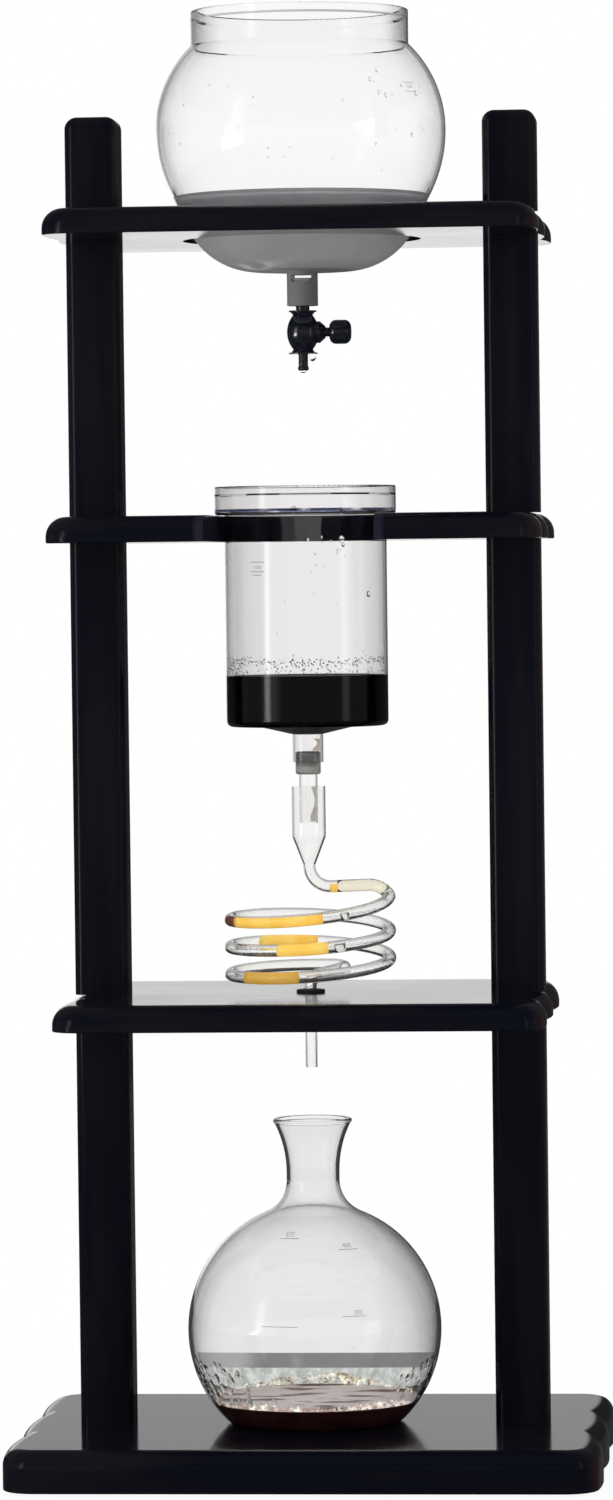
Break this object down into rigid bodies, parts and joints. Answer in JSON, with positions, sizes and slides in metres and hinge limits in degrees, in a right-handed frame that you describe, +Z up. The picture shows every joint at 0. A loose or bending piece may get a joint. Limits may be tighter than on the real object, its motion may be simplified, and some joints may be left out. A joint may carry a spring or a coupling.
{
  "type": "cold drip coffee tower",
  "caption": "Tall cold drip coffee tower: black timber stand with scalloped shelves holding a glass water bowl with drip valve, coffee chamber, coiled tube and collecting flask.",
  "frame": {"origin": "on the table, under the middle of the base board, in the plane of the feet's undersides", "axes": "+Z up the tower, +Y from the front of the tower towards its back, +X to the right seen from the front, where the valve knob points"},
  "size_m": [0.3856, 0.29, 0.9546],
  "materials": {
    "black_lacquer": "black piano lacquer on timber, high gloss",
    "clear_glass": "clear laboratory glass, polished",
    "valve_plastic": "black moulded plastic, glossy",
    "nozzle_plastic": "dark plastic, glossy",
    "black_rubber": "black rubber, matt",
    "frosted_silicone": "frosted silicone rubber",
    "steel": "stainless steel",
    "ceramic_disc": "unglazed porous ceramic"
  },
  "bodies": {
    "stand": {"base_board": "black_lacquer", "rubber_feet": "black_rubber", "base_screws": "steel", "lower_shelf": "black_lacquer", "middle_shelf": "black_lacquer", "top_shelf": "black_lacquer", "lower_shelf_studs": "steel", "middle_shelf_studs": "steel", "top_shelf_studs": "steel", "left_lower_post": "black_lacquer", "left_middle_post": "black_lacquer", "left_upper_post": "black_lacquer", "left_post_cap": "black_lacquer", "right_lower_post": "black_lacquer", "right_middle_post": "black_lacquer", "right_upper_post": "black_lacquer", "right_post_cap": "black_lacquer", "coil_grommet": "black_rubber"},
    "bowl": {"water_bowl": "clear_glass", "bowl_stopper": "frosted_silicone", "valve_body": "valve_plastic", "valve_bonnet": "valve_plastic", "spindle_ring": "frosted_silicone", "drip_nozzle": "nozzle_plastic"},
    "knob": {"valve_knob": "valve_plastic", "valve_spindle": "valve_plastic"},
    "chamber": {"coffee_chamber": "clear_glass", "filter_seal": "frosted_silicone", "filter_disc": "ceramic_disc", "stem_plug": "black_rubber", "drip_tube": "clear_glass"},
    "coil": {"coil_tube": "clear_glass"},
    "flask": {"flask": "clear_glass"}
  },
  "joints": [
    {"name": "bowl_lift", "type": "slide", "parent": "stand", "child": "bowl", "axis": [0, 0, 1], "range_m": [0, 0.12]},
    {"name": "knob_turn", "type": "hinge", "parent": "bowl", "child": "knob", "pos_m": [0.02, 0, 0.7446], "axis": [1, 0, 0], "range_deg": [0, 540]},
    {"name": "chamber_lift", "type": "slide", "parent": "stand", "child": "chamber", "axis": [0, 0, 1], "range_m": [0, 0.06]},
    {"name": "coil_lift", "type": "slide", "parent": "stand", "child": "coil", "axis": [0, 0, 1], "range_m": [0, 0.006]},
    {"name": "flask_pull", "type": "slide", "parent": "stand", "child": "flask", "axis": [0, -1, 0], "range_m": [0, 0.3]}
  ]
}
